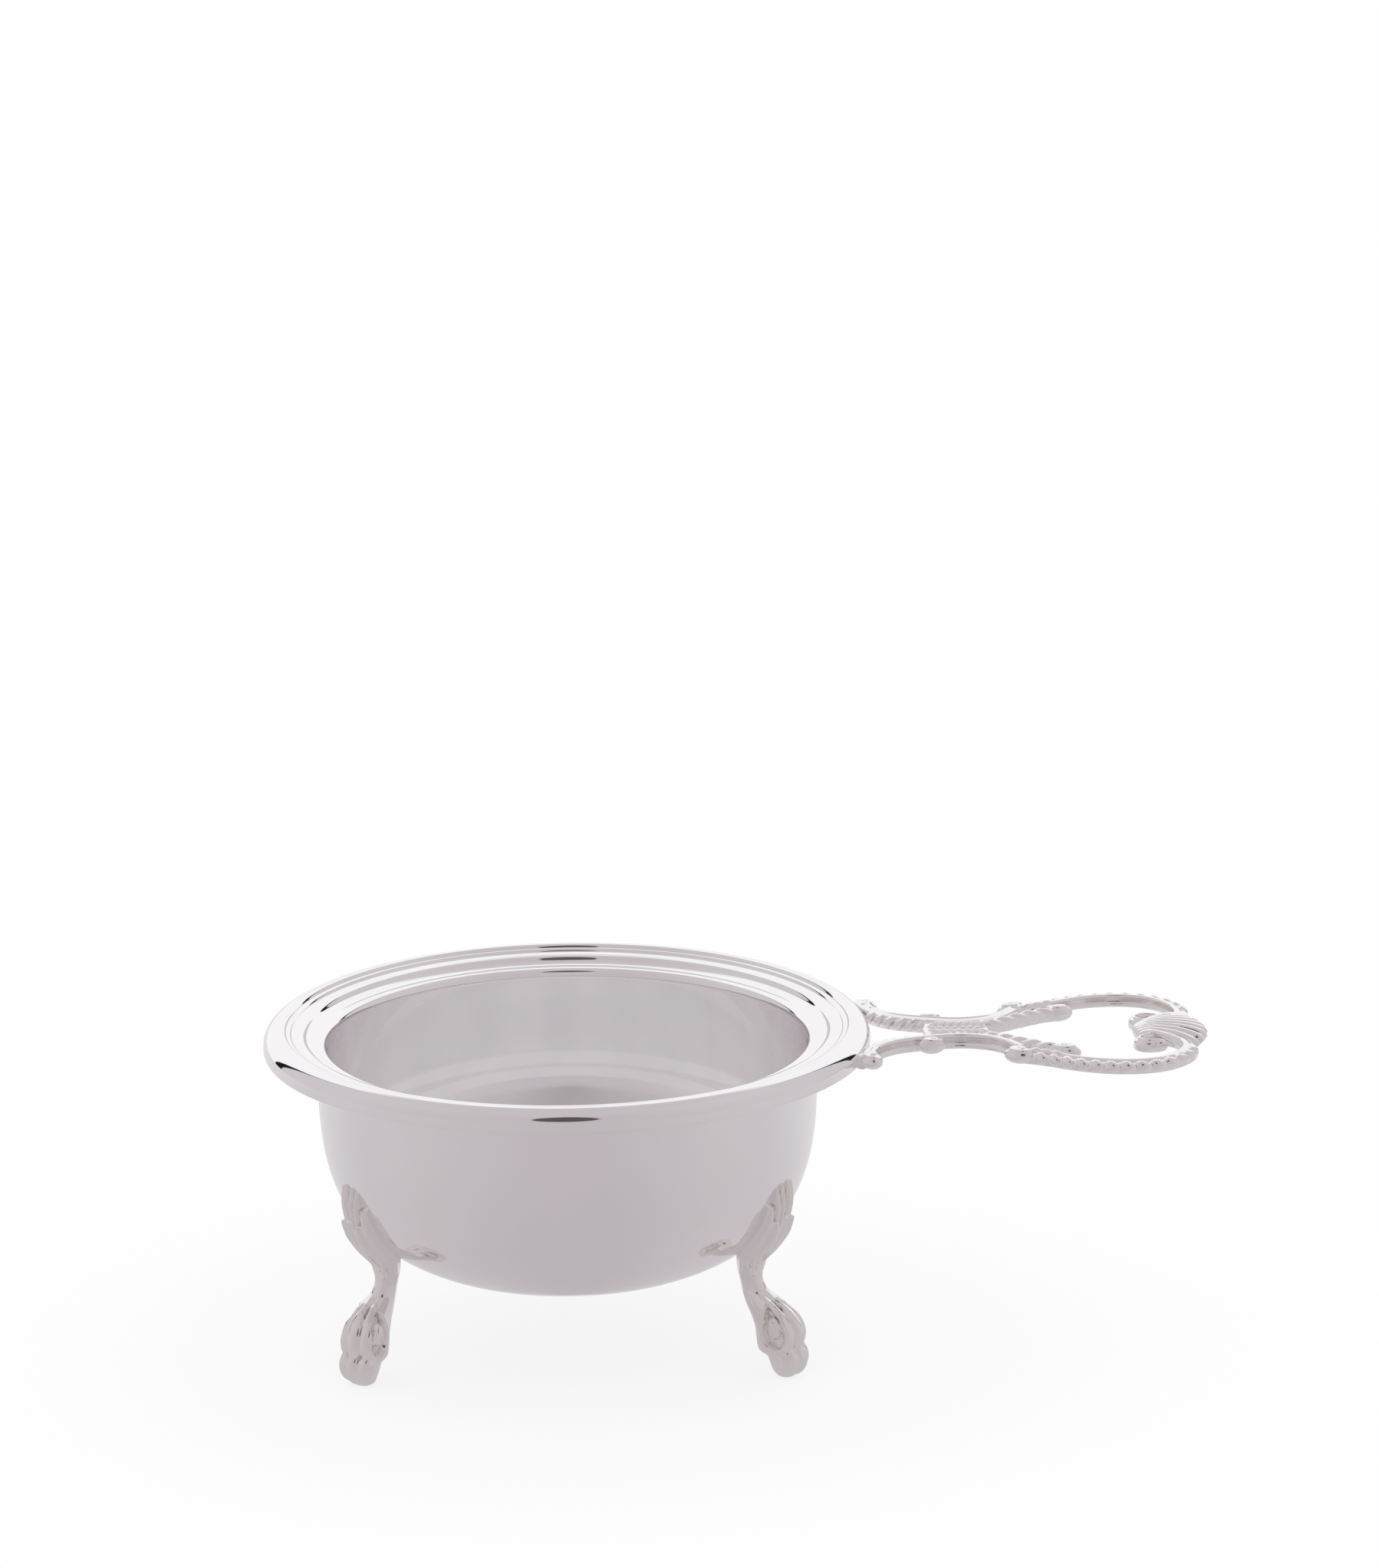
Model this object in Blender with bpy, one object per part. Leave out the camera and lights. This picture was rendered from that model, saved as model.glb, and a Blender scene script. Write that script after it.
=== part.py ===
"""Tea strainer on a footed drip bowl: six silver-plated pieces, in metres, +Z up.

The origin is on the table, under the middle of the object's length and width. The
handle runs along +X, so the axis of the round bowls stands on the -X side. The
drip bowl stands on three cast paw feet. The strainer bowl hangs inside it by its
moulded flange, and carries a cast handle. Dimensions below are millimetres, with
x and y counted from the bowls' axis.
"""

import math

import bpy
from mathutils import Vector

MM = 0.001
TURN = 2 * math.pi

SEGMENTS = 48            # facets round a turned piece
FACET_SAG = 0.12         # how far the facets of a turned piece fall inside its circle
GAP = 0.3                # clearance between neighbouring pieces

# Drip bowl, outside surface, as a superellipse in section
BOWL_RADIUS = 33.0
BOWL_BASE_Z = 10.2
BOWL_WAIST_Z = 41.1      # above this height the wall is straight
BOWL_MOUTH_Z = 41.7
BOWL_WALL = 0.55
BOWL_FULLNESS = (2.69, 3.48)   # radial and vertical exponents of the section

# Strainer bowl, outside surface
STRAINER_RADIUS = 32.15
STRAINER_BASE_Z = 15.5
STRAINER_TOP_Z = 41.1
STRAINER_WALL = 0.45
STRAINER_FULLNESS = (2.8, 4.4)

# Moulded flange of the strainer: top of the section, from the lip inwards
LIP_RADIUS = 40.0
LIP_Z = 41.0
LIP_HEIGHT = 1.2         # straight part of the lip's outer side
CREST_RADIUS = 37.5
CREST_Z = 44.4
STEP_RADIUS = 36.4       # foot of the reeds, where the cavetto starts
STEP_Z = 43.75
CAVETTO_RADIUS = 35.6
CAVETTO_Z = 43.0
CREASE_RADIUS = 34.6
CREASE_Z = 42.7
ROLL_HEIGHT = 0.25       # inner roll above the crease
FLANGE_THICKNESS = 0.6
THROAT_WIDTH = 2.0       # from the top of the inner roll to the strainer's wall
THROAT_DROP = 1.5

# Piercing of the strainer's base
HOLE_DIAMETER = 1.4
HOLE_PITCH = 3.0
HOLE_RINGS = 6
HOLE_SIDES = 6

# Handle: a flat openwork casting
HANDLE_TOP_Z = 43.0
HANDLE_BOTTOM_Z = 40.9
HANDLE_TIP_X = 84.5
BOWL_AXIS_X = (LIP_RADIUS - HANDLE_TIP_X) / 2   # centres the object's length on the origin
CHAMFER = 0.5            # height of the sloped upper edge of the bars and volutes
CROWN_SHARE = 0.55       # width of a bar's flat top against its full width
ARM_WIDTH = 1.6
LOOP_WIDTH = 1.7
WAIST_WIDTHS = (7.0, 5.0)
ARM_PATH = (
    (39.0, 11.6), (40.6, 8.2), (43.0, 5.6), (47.0, 4.1),
    (51.5, 3.1), (56.0, 4.4), (60.2, 7.6), (63.0, 9.3), (65.4, 9.5),
)
LOOP_PATH = (
    (59.2, 10.1), (62.8, 11.3), (67.0, 13.8), (71.0, 15.1), (74.6, 15.3),
    (78.0, 14.0), (80.6, 10.8), (81.1, 7.2), (79.4, 4.2), (76.9, 3.6),
)
WAIST_PATH = ((47.2, 0.0), (51.0, 0.0), (54.8, 0.0))
VOLUTES = (              # x, y and radius of the scrolled ends on one side
    (39.6, 12.0, 1.9),
    (48.0, 6.0, 1.5),
    (59.2, 10.2, 2.0),
    (65.6, 9.2, 1.6),
    (76.2, 4.6, 1.4),
)
SHELL_ROOT_X = 74.8
SHELL_ROOT_HALF = 2.2
SHELL_SPREAD = 4.6       # how much wider the shell is at its edge than at its root, each side
SHELL_DOME = 0.9
SHELL_RIDGE = 0.22
SHELL_FLUTES = 9

# Feet
FOOT_AZIMUTHS = {"foot_front_left": -152.0, "foot_front_right": -28.0, "foot_back": 90.0}
FOOT_TWISTS = {"foot_front_left": 32.0, "foot_front_right": 0.0, "foot_back": 0.0}
ANKLE_RADIUS = 27.0      # distance of the ankle from the bowl's axis
ANKLE_Z = 12.5
PAW_Z = 7.0
LEG_STATIONS = (         # height, back, front and half-width, from the sole to the knee
    (0.0, 30.2, 34.6, 1.9),
    (0.9, 29.4, 35.7, 2.7),
    (2.8, 28.9, 36.2, 3.0),
    (4.1, 28.5, 35.3, 2.9),
    (4.6, 28.1, 35.5, 3.1),
    (6.2, 27.2, 35.3, 3.1),
    (7.8, 26.5, 33.7, 2.8),
    (9.2, 26.0, 31.0, 2.1),
    (10.8, 25.6, 29.2, 1.6),
    (12.5, 25.3, 28.5, 1.4),
    (14.2, 25.0, 29.0, 1.6),
    (16.0, 25.4, 30.1, 2.1),
    (18.5, 26.0, 31.4, 2.4),
)
TOE_LOBES = 0.07         # depth of the grooves between knuckles and toes, as a share
LEAF_TOP_Z = 25.6
LEAF_BOTTOM_Z = 15.0
LEAF_ROOT_HALF = 1.6
LEAF_HALF_WIDTH = 5.2
LEAF_SIDE_DROP = 3.2     # how far the side lobes end below the middle tip
LEAF_RISE = 1.0          # above the bowl's surface
LEAF_ROOT_DEPTH = 0.6    # below it, cut away to the gap afterwards


def clear_scene():
    for leftover in list(bpy.data.objects):
        bpy.data.objects.remove(leftover)


def silver(name, colour, roughness):
    material = bpy.data.materials.new(name)
    material.use_nodes = True
    shader = material.node_tree.nodes["Principled BSDF"]
    shader.inputs["Base Color"].default_value = (*colour, 1.0)
    shader.inputs["Metallic"].default_value = 1.0
    shader.inputs["Roughness"].default_value = roughness
    return material


def add_object(name, vertices, faces, material=None):
    """Make an object from millimetre coordinates and stand it on the bowls' axis."""
    mesh = bpy.data.meshes.new(name)
    mesh.from_pydata([Vector(v) * MM for v in vertices], [], faces)
    if material:
        mesh.materials.append(material)
    shape = bpy.data.objects.new(name, mesh)
    shape.location.x = BOWL_AXIS_X * MM
    bpy.context.scene.collection.objects.link(shape)
    return shape


def as_tool(shape):
    """A cutter or an addition: it shapes another piece and isn't one itself."""
    shape.hide_render = True
    shape.display_type = "WIRE"
    return shape


def combine(shape, tool, operation):
    modifier = shape.modifiers.new(tool.name, "BOOLEAN")
    modifier.operation = operation
    modifier.object = as_tool(tool)


def smooth(shape, angle=35.0):
    shape.data.shade_smooth()
    shape.data.set_sharp_from_angle(angle=math.radians(angle))


def arc(start, end, steps):
    """Evenly spaced values from start to end, both included."""
    return [start + (end - start) * i / steps for i in range(steps + 1)]


def bowl_section(radius, base_z, top_z, fullness, steps):
    """Superellipse quarter from the rim down to a small flat base, as (r, z) pairs."""
    across, down = fullness
    points = []
    for angle in arc(math.pi / 2, 0.0, steps)[:-1]:
        r = radius * math.sin(angle) ** (2 / across)
        z = top_z - (top_z - base_z) * max(math.cos(angle), 0.0) ** (2 / down)
        points.append((r, z))
    return points


def turned(name, outline, material=None):
    """Solid of revolution from an (r, z) outline that runs down its outer side.

    Both ends of the outline are closed by flat discs.
    """
    vertices = []
    for r, z in outline:
        for i in range(SEGMENTS):
            angle = TURN * i / SEGMENTS
            vertices.append((r * math.cos(angle), r * math.sin(angle), z))
    last = (len(outline) - 1) * SEGMENTS
    faces = [tuple(range(SEGMENTS)), tuple(range(last, last + SEGMENTS))[::-1]]
    for upper in range(0, last, SEGMENTS):
        lower = upper + SEGMENTS
        for i in range(SEGMENTS):
            j = (i + 1) % SEGMENTS
            faces.append((upper + i, lower + i, lower + j, upper + j))
    return add_object(name, vertices, faces, material)


def make_drip_bowl(material):
    outside = bowl_section(BOWL_RADIUS, BOWL_BASE_Z, BOWL_WAIST_Z, BOWL_FULLNESS, 12)
    inside = bowl_section(
        BOWL_RADIUS - BOWL_WALL, BOWL_BASE_Z + BOWL_WALL, BOWL_WAIST_Z, BOWL_FULLNESS, 12
    )
    mouth = [(BOWL_RADIUS - BOWL_WALL, BOWL_MOUTH_Z), (BOWL_RADIUS, BOWL_MOUTH_Z)]
    bowl = turned("drip_bowl", inside[::-1] + mouth + outside, material)
    smooth(bowl)
    return bowl


def flange_top():
    """Flange section from the lip's foot, over the crest and cavetto, to the throat."""
    shoulder_z = LIP_Z + LIP_HEIGHT
    outline = [(LIP_RADIUS, LIP_Z), (LIP_RADIUS, shoulder_z)]
    for angle in arc(math.radians(22), math.radians(90), 4):
        r = CREST_RADIUS + (LIP_RADIUS - CREST_RADIUS) * math.cos(angle) ** 0.9
        outline.append((r, shoulder_z + (CREST_Z - shoulder_z) * math.sin(angle)))
    outline.append((STEP_RADIUS, STEP_Z))
    outline.append((CAVETTO_RADIUS, CAVETTO_Z))
    outline.append((CREASE_RADIUS, CREASE_Z))
    throat = STRAINER_RADIUS - STRAINER_WALL
    for angle in arc(math.radians(90), math.radians(15), 4):
        r = throat + THROAT_WIDTH * (1 - math.cos(angle) ** 0.6)
        outline.append((r, CREASE_Z + ROLL_HEIGHT - THROAT_DROP * (1 - math.sin(angle))))
    return outline


def flange_under():
    """Underside of the flange from the strainer's wall out to the lip, hollow inside."""
    thick = FLANGE_THICKNESS
    seat_z = BOWL_MOUTH_Z + GAP + 0.1
    return [
        (STRAINER_RADIUS, STRAINER_TOP_Z + 0.5),
        (STRAINER_RADIUS + 0.3, seat_z),
        (BOWL_RADIUS + 0.4, seat_z),
        (CREASE_RADIUS, CREASE_Z - thick),
        (CAVETTO_RADIUS + 0.1, CAVETTO_Z - thick - 0.1),
        (STEP_RADIUS + 0.3, STEP_Z - thick),
        (CREST_RADIUS + 0.2, CREST_Z - thick - 0.1),
        (LIP_RADIUS - 1.4, CREST_Z - thick - 0.4),
        (LIP_RADIUS - 0.7, LIP_Z + 1.4),
        (LIP_RADIUS - thick, LIP_Z),
    ]


def make_strainer_bowl(material):
    inside = bowl_section(
        STRAINER_RADIUS - STRAINER_WALL,
        STRAINER_BASE_Z + STRAINER_WALL,
        STRAINER_TOP_Z,
        STRAINER_FULLNESS,
        10,
    )
    outside = bowl_section(
        STRAINER_RADIUS, STRAINER_BASE_Z, STRAINER_TOP_Z, STRAINER_FULLNESS, 10
    )
    throat_to_lip = flange_top()[::-1]
    lip_to_wall = flange_under()[::-1]
    outline = inside[::-1] + throat_to_lip + lip_to_wall + outside
    bowl = turned("strainer_bowl", outline, material)
    combine(bowl, make_hole_cutter(), "DIFFERENCE")
    smooth(bowl)
    return bowl


def make_hole_cutter():
    """Prisms on concentric rings: one in the middle, then six more on each ring."""
    centres = [(0.0, 0.0)]
    for ring in range(1, HOLE_RINGS + 1):
        reach = ring * HOLE_PITCH
        for i in range(6 * ring):
            angle = TURN * (i + 0.5) / (6 * ring)
            centres.append((reach * math.cos(angle), reach * math.sin(angle)))
    vertices = []
    faces = []
    bottom_z = STRAINER_BASE_Z - 2.0
    top_z = STRAINER_BASE_Z + 6.0
    for x, y in centres:
        first = len(vertices)
        for z in (bottom_z, top_z):
            for i in range(HOLE_SIDES):
                angle = TURN * i / HOLE_SIDES
                vertices.append((
                    x + HOLE_DIAMETER / 2 * math.cos(angle),
                    y + HOLE_DIAMETER / 2 * math.sin(angle),
                    z,
                ))
        low = [first + i for i in range(HOLE_SIDES)]
        high = [first + HOLE_SIDES + i for i in range(HOLE_SIDES)]
        faces.append(low[::-1])
        faces.append(high)
        for i in range(HOLE_SIDES):
            j = (i + 1) % HOLE_SIDES
            faces.append((low[i], low[j], high[j], high[i]))
    return add_object("hole_cutter", vertices, faces)


def loft(name, rings, material=None):
    """Closed solid through rings of equal point count, each anticlockwise from its end."""
    vertices = [point for ring in rings for point in ring]
    count = len(rings[0])
    faces = [tuple(range(count))[::-1]]
    for k in range(len(rings) - 1):
        for i in range(count):
            j = (i + 1) % count
            a = k * count
            b = a + count
            faces.append((a + i, a + j, b + j, b + i))
    last = (len(rings) - 1) * count
    faces.append(tuple(range(last, last + count)))
    return add_object(name, vertices, faces, material)


def smooth_path(points, steps):
    """Catmull-Rom curve through plan points."""
    padded = [points[0]] + list(points) + [points[-1]]
    path = []
    for k in range(1, len(padded) - 2):
        p0, p1, p2, p3 = (Vector(p) for p in padded[k - 1:k + 3])
        for i in range(steps):
            t = i / steps
            path.append(0.5 * (
                2 * p1 + (p2 - p0) * t
                + (2 * p0 - 5 * p1 + 4 * p2 - p3) * t * t
                + (3 * p1 - 3 * p2 + p3 - p0) * t ** 3
            ))
    path.append(Vector(padded[-2]))
    return path


def bar(name, points, widths, side, steps=3, crown=0.0):
    """A moulded bar along a plan path: flat below, with chamfered upper edges."""
    path = smooth_path([(x, side * y) for x, y in points], steps)
    rings = []
    for k, here in enumerate(path):
        ahead = path[min(k + 1, len(path) - 1)]
        behind = path[max(k - 1, 0)]
        along = (ahead - behind).normalized()
        across = Vector((-along.y, along.x))
        t = k / (len(path) - 1)
        half = (widths[0] + (widths[1] - widths[0]) * t) / 2
        section = (
            (half, HANDLE_BOTTOM_Z),
            (half, HANDLE_TOP_Z - CHAMFER),
            (half * CROWN_SHARE, HANDLE_TOP_Z + crown),
            (-half * CROWN_SHARE, HANDLE_TOP_Z + crown),
            (-half, HANDLE_TOP_Z - CHAMFER),
            (-half, HANDLE_BOTTOM_Z),
        )
        ring = []
        for offset, z in section:
            place = here + across * offset
            ring.append((place.x, place.y, z))
        rings.append(ring)
    return loft(name, rings)


def volute(name, x, y, radius):
    """A scrolled end: a short drum with a rounded top."""
    rings = []
    for share, z in (
        (0.8, HANDLE_BOTTOM_Z - 0.1),
        (1.0, HANDLE_BOTTOM_Z + CHAMFER),
        (1.0, HANDLE_TOP_Z - CHAMFER),
        (0.7, HANDLE_TOP_Z + 0.2),
    ):
        ring = []
        for i in range(12):
            angle = TURN * (i + 0.5) / 12
            ring.append((
                x + radius * share * math.cos(angle),
                y + radius * share * math.sin(angle),
                z,
            ))
        rings.append(ring)
    return loft(name, rings)


def sheet_border(stations, columns):
    """Point numbers round the edge of a grid of stations by columns."""
    border = list(range(columns))
    border += [s * columns + columns - 1 for s in range(1, stations)]
    border += [(stations - 1) * columns + k for k in range(columns - 2, -1, -1)]
    border += [s * columns for s in range(stations - 2, 0, -1)]
    return border


def thick_sheet(name, upper, lower, stations, columns, material=None):
    """Closed solid between two grids of points of the same layout."""
    layer = stations * columns
    faces = []
    for s in range(stations - 1):
        for k in range(columns - 1):
            a = s * columns + k
            b = a + columns
            faces.append((a, b, b + 1, a + 1))
            faces.append((layer + a, layer + a + 1, layer + b + 1, layer + b))
    border = sheet_border(stations, columns)
    for a, b in zip(border, border[1:] + border[:1]):
        faces.append((a, b, layer + b, layer + a))
    return add_object(name, upper + lower, faces, material)


def make_shell(material):
    """A scallop: ridges fanning out from its narrow root to the handle's tip."""
    stations = 6
    columns = 2 * SHELL_FLUTES + 1
    upper = []
    for s in range(stations):
        t = s / (stations - 1)
        for k in range(columns):
            u = 2 * k / (columns - 1) - 1
            half = SHELL_ROOT_HALF + SHELL_SPREAD * t ** 1.4
            x = SHELL_ROOT_X + (HANDLE_TIP_X - SHELL_ROOT_X) * t * (1 - 0.22 * u * u * t)
            ridge = SHELL_RIDGE * (k % 2) * t
            arch = math.sin(math.pi * min(t + 0.12, 1.0)) ** 0.7
            dome = SHELL_DOME * arch * (1 - 0.6 * u * u)
            upper.append((x, u * half, HANDLE_TOP_Z - 0.35 + dome + ridge))
    lower = [(x, y, HANDLE_BOTTOM_Z + 0.05) for x, y, _ in upper]
    return thick_sheet("handle", upper, lower, stations, columns, material)


def make_handle(material):
    handle = make_shell(material)
    for side in (1, -1):
        label = "far" if side > 0 else "near"
        loop = bar(f"loop_{label}", LOOP_PATH, (LOOP_WIDTH, LOOP_WIDTH), side)
        arm = bar(f"arm_{label}", ARM_PATH, (ARM_WIDTH, ARM_WIDTH), side, crown=0.04)
        combine(handle, loop, "UNION")
        combine(handle, arm, "UNION")
        for k, (x, y, radius) in enumerate(VOLUTES):
            combine(handle, volute(f"volute_{label}_{k}", x, side * y, radius), "UNION")
    combine(handle, bar("waist", WAIST_PATH, WAIST_WIDTHS, 1, crown=-0.15), "UNION")
    reach = LIP_RADIUS + GAP + FACET_SAG
    clearance = [(reach, HANDLE_TOP_Z + 6.0), (reach, HANDLE_BOTTOM_Z - 6.0)]
    combine(handle, turned("rim_clearance", clearance), "DIFFERENCE")
    smooth(handle)
    return handle


def twist(point, degrees):
    """Turn the lower leg about the ankle's upright line, fully by the paw's height."""
    x, y, z = point
    share = min(max((ANKLE_Z + 1.5 - z) / (ANKLE_Z + 1.5 - PAW_Z), 0.0), 1.0)
    angle = math.radians(degrees) * share * share * (3 - 2 * share)
    dx = x - ANKLE_RADIUS
    return (
        ANKLE_RADIUS + dx * math.cos(angle) - y * math.sin(angle),
        dx * math.sin(angle) + y * math.cos(angle),
        z,
    )


def make_leg(name, degrees, material):
    """The leg and paw, in the foot's own radial frame; knuckles and toes are lobed."""
    rings = []
    points = 20
    for z, back, front, half in LEG_STATIONS:
        centre = (back + front) / 2
        reach = (front - back) / 2
        lobes = TOE_LOBES if z < PAW_Z + 1.0 else 0.0
        ring = []
        for i in range(points):
            angle = TURN * i / points
            facing = max(math.cos(angle), 0.0)
            swell = 1 - lobes * facing * (1 - math.cos(4 * angle) ** 2)
            place = (centre + reach * swell * math.cos(angle), half * swell * math.sin(angle), z)
            ring.append(twist(place, degrees))
        rings.append(ring)
    return loft(name, rings, material)


def make_leaf(name):
    """The lobed leaf that spreads over the bowl at the knee, in the radial frame."""
    stations = 9
    columns = 9
    layers = []
    for depth in (-LEAF_ROOT_DEPTH, LEAF_RISE):
        layer = []
        for s in range(stations):
            t = s / (stations - 1)
            spread = math.sin(math.pi * min(t * 0.95 + 0.05, 1.0) ** 1.15)
            half = LEAF_ROOT_HALF + (LEAF_HALF_WIDTH - LEAF_ROOT_HALF) * spread
            for k in range(columns):
                u = 2 * k / (columns - 1) - 1
                tip = LEAF_TOP_Z - LEAF_SIDE_DROP * min(abs(u) * 1.3, 1.0) ** 1.5
                z = LEAF_BOTTOM_Z + (tip - LEAF_BOTTOM_Z) * t
                thinning = 1 - 0.55 * u * u if depth > 0 else 1.0
                r = bowl_radius_at(z) + depth * thinning
                angle = u * half / BOWL_RADIUS * 1.1
                layer.append((r * math.cos(angle), r * math.sin(angle), z))
        layers.append(layer)
    return thick_sheet(name, layers[0], layers[1], stations, columns)


def bowl_radius_at(z):
    """Radius of the drip bowl's outside at a height."""
    across, down = BOWL_FULLNESS
    drop = min(max((BOWL_WAIST_Z - z) / (BOWL_WAIST_Z - BOWL_BASE_Z), 0.0), 1.0)
    return BOWL_RADIUS * (1 - drop ** down) ** (1 / across)


def make_foot(name, azimuth, degrees, material):
    foot = make_leg(name, degrees, material)
    leaf = make_leaf(f"leaf_of_{name}")
    section = bowl_section(
        BOWL_RADIUS + GAP, BOWL_BASE_Z - GAP, BOWL_WAIST_Z, BOWL_FULLNESS, 16
    )
    clearance = turned(f"clearance_of_{name}", section)
    for shape in (foot, leaf):
        shape.rotation_euler.z = math.radians(azimuth)
    combine(foot, leaf, "UNION")
    combine(foot, clearance, "DIFFERENCE")
    smooth(foot)
    return foot


def build():
    clear_scene()
    bowl_silver = silver("polished_silver_bowl", (0.80, 0.78, 0.79), 0.06)
    strainer_silver = silver("polished_silver_strainer", (0.82, 0.80, 0.81), 0.06)
    handle_silver = silver("cast_silver_handle", (0.82, 0.80, 0.80), 0.12)
    foot_silver = silver("cast_silver_foot", (0.76, 0.72, 0.71), 0.14)
    make_drip_bowl(bowl_silver)
    strainer = make_strainer_bowl(strainer_silver)
    handle = make_handle(handle_silver)
    lift_axis = bpy.data.objects.new("strainer_lift_axis", None)
    lift_axis.location.x = BOWL_AXIS_X * MM
    bpy.context.scene.collection.objects.link(lift_axis)
    for lifted in (strainer, handle):
        lifted.parent = lift_axis
        lifted.location.x = 0.0
    for name, azimuth in FOOT_AZIMUTHS.items():
        make_foot(name, azimuth, FOOT_TWISTS[name], foot_silver)


build()
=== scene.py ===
"""Finished look of the silver-plated tea strainer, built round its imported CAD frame.

All shape functions work in millimetres, with x and y counted from the axis of the
round bowls; finish_piece() puts each piece on that axis in the frame. Radii and
heights are read from the frame's boxes.
"""

import math

import bpy
import numpy as np
from mathutils import Euler, Matrix, Vector
from mathutils.geometry import delaunay_2d_cdt


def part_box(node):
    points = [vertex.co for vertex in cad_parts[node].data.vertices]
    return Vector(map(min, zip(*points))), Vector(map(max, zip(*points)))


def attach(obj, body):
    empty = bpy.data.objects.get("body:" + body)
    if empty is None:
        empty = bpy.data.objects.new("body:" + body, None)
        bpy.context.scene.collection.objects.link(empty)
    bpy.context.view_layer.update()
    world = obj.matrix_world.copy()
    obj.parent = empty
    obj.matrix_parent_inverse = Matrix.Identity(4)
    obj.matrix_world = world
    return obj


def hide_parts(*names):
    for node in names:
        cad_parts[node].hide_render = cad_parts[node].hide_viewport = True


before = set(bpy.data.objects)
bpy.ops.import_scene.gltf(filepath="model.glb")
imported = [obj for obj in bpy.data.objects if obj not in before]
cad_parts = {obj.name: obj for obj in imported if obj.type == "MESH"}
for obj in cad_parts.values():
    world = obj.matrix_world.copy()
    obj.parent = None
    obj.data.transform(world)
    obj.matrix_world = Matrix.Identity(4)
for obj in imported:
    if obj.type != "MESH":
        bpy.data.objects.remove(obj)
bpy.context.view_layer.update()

MM = 0.001
TURN = 2 * math.pi
ROUND = 256                      # facets round a turned surface

DRIP_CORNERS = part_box("drip_bowl")
AXIS_X = (DRIP_CORNERS[0][0] + DRIP_CORNERS[1][0]) / 2      # of the round bowls, in metres


def box_mm(node):
    """A node's corners in millimetres, with x counted from the bowls' axis."""
    axis = np.array([AXIS_X, 0.0, 0.0])
    low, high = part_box(node)
    return (np.array(low) - axis) / MM, (np.array(high) - axis) / MM


STRAINER_LOW, STRAINER_HIGH = box_mm("strainer_bowl")
DRIP_LOW, DRIP_HIGH = box_mm("drip_bowl")
HANDLE_LOW = box_mm("handle")[0]

# Drip bowl, outside of the section
BOWL_RADIUS = DRIP_HIGH[0]
BOWL_MOUTH_Z = DRIP_HIGH[2]
BOWL_WAIST_Z = BOWL_MOUTH_Z - 0.6
BOWL_BASE_Z = DRIP_LOW[2] - 0.15          # the CAD base is a small flat above the pole
BOWL_WALL = 0.55
BOWL_FULLNESS = (2.69, 3.48)

# Strainer bowl and its flange
LIP_RADIUS = STRAINER_HIGH[0]
CREST_Z = STRAINER_HIGH[2]
LIP_Z = CREST_Z - 3.4
STRAINER_RADIUS = LIP_RADIUS - 7.85
STRAINER_WALL = 0.45
STRAINER_TOP_Z = LIP_Z + 0.1
STRAINER_BASE_Z = STRAINER_LOW[2] - 0.2
STRAINER_FULLNESS = (2.8, 4.4)

# Piercing
HOLE_DIAMETER = 1.4
HOLE_PITCH = 3.0
HOLE_RINGS = 6
PIERCED_RADIUS = 20.4

# Handle
HANDLE_BASE_Z = HANDLE_LOW[2] + 0.1

# Feet, each in its own radial frame: x outwards, y to the side, z up
FOOT_AZIMUTHS = {"foot_front_left": -152.0, "foot_front_right": -28.0, "foot_back": 90.0}
FOOT_TWISTS = {"foot_front_left": 24.0, "foot_front_right": 0.0, "foot_back": 0.0}
ANKLE_RADIUS = 27.0
ANKLE_Z = 12.5
PAW_Z = 7.0


# ---------------------------------------------------------------- small helpers

def add_object(name, vertices, faces, scale=MM):
    mesh = bpy.data.meshes.new(name)
    points = np.asarray(vertices, float) * scale
    mesh.from_pydata(points.tolist(), [], [tuple(f) for f in faces])
    mesh.validate()
    shape = bpy.data.objects.new(name, mesh)
    bpy.context.scene.collection.objects.link(shape)
    return shape


def finish_piece(shape, body, node, material):
    shape.location.x = AXIS_X
    shape.data.materials.clear()
    shape.data.materials.append(material)
    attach(shape, body)
    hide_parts(node)
    return shape


def even_steps(points, step):
    """The polyline resampled at near-equal steps along its length."""
    points = np.asarray(points, float)
    lengths = np.r_[0, np.cumsum(np.linalg.norm(np.diff(points, axis=0), axis=1))]
    count = max(int(round(lengths[-1] / step)), 1)
    marks = np.linspace(0, lengths[-1], count + 1)
    return np.stack([np.interp(marks, lengths, points[:, k]) for k in range(points.shape[1])], -1)


def curve_through(points, steps=12):
    """Catmull-Rom curve through points of any dimension."""
    p = [np.asarray(q, float) for q in points]
    p = [2 * p[0] - p[1]] + p + [2 * p[-1] - p[-2]]
    out = []
    for k in range(1, len(p) - 2):
        for i in range(steps):
            t = i / steps
            out.append(0.5 * (
                2 * p[k] + (p[k + 1] - p[k - 1]) * t
                + (2 * p[k - 1] - 5 * p[k] + 4 * p[k + 1] - p[k + 2]) * t * t
                + (3 * p[k] - 3 * p[k + 1] + p[k + 2] - p[k - 1]) * t ** 3
            ))
    out.append(p[-2])
    return np.array(out)


def bulge(start, end, height, count=9):
    """Circular-looking arc from start to end, bulging to the left of its run."""
    start, end = np.asarray(start, float), np.asarray(end, float)
    run = end - start
    left = np.array([-run[1], run[0]]) / np.linalg.norm(run)
    t = np.linspace(0, 1, count)[:, None]
    return start + run * t + left * height * 4 * t * (1 - t)


# ---------------------------------------------------------------- turned bowls

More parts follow.
